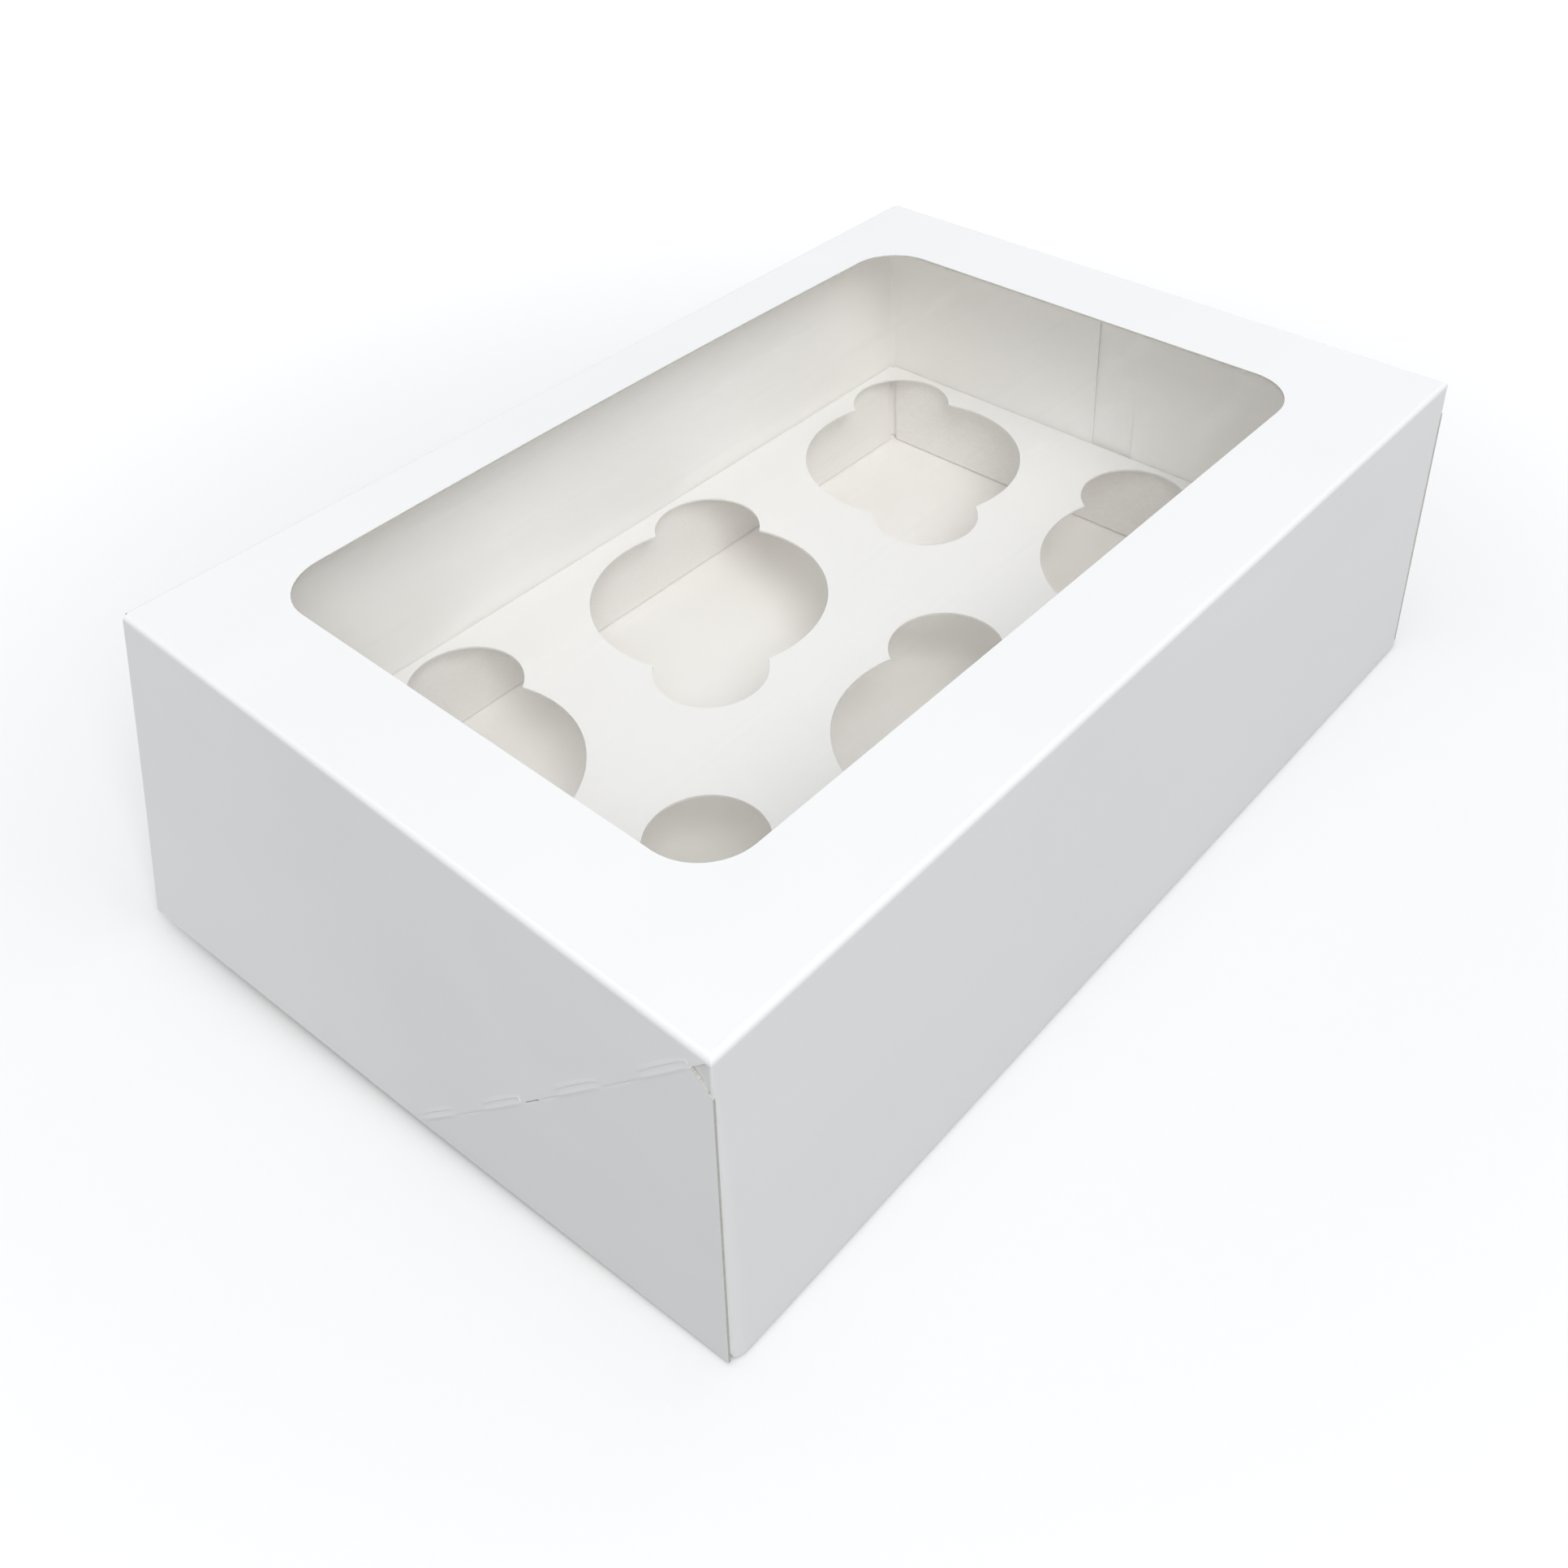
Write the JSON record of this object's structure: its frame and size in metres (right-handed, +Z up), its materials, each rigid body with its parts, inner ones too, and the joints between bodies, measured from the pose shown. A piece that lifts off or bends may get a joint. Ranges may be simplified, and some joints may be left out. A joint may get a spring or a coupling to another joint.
{
  "type": "cupcake box",
  "caption": "Folded white card carton for cupcakes, with a hinged lid that has a clear film window, and a card insert with lobed cup cut-outs.",
  "frame": {"origin": "middle of the underside of the closed box", "axes": "+X along the long side, +Y towards the hinged rear wall, +Z up"},
  "size_m": [0.2568, 0.16, 0.076],
  "materials": {
    "white_board": "coated white outside, satin",
    "insert_card": "white, matte",
    "clear_film": "clear and glossy"
  },
  "bodies": {
    "tray": {"tray": "white_board", "insert": "insert_card"},
    "lid": {"lid": "white_board", "window_film": "clear_film"}
  },
  "joints": [
    {"name": "lid_hinge", "type": "hinge", "parent": "tray", "child": "lid", "pos_m": [0, 0.08, 0.076], "axis": [-1, 0, 0], "range_deg": [0, 180]}
  ]
}
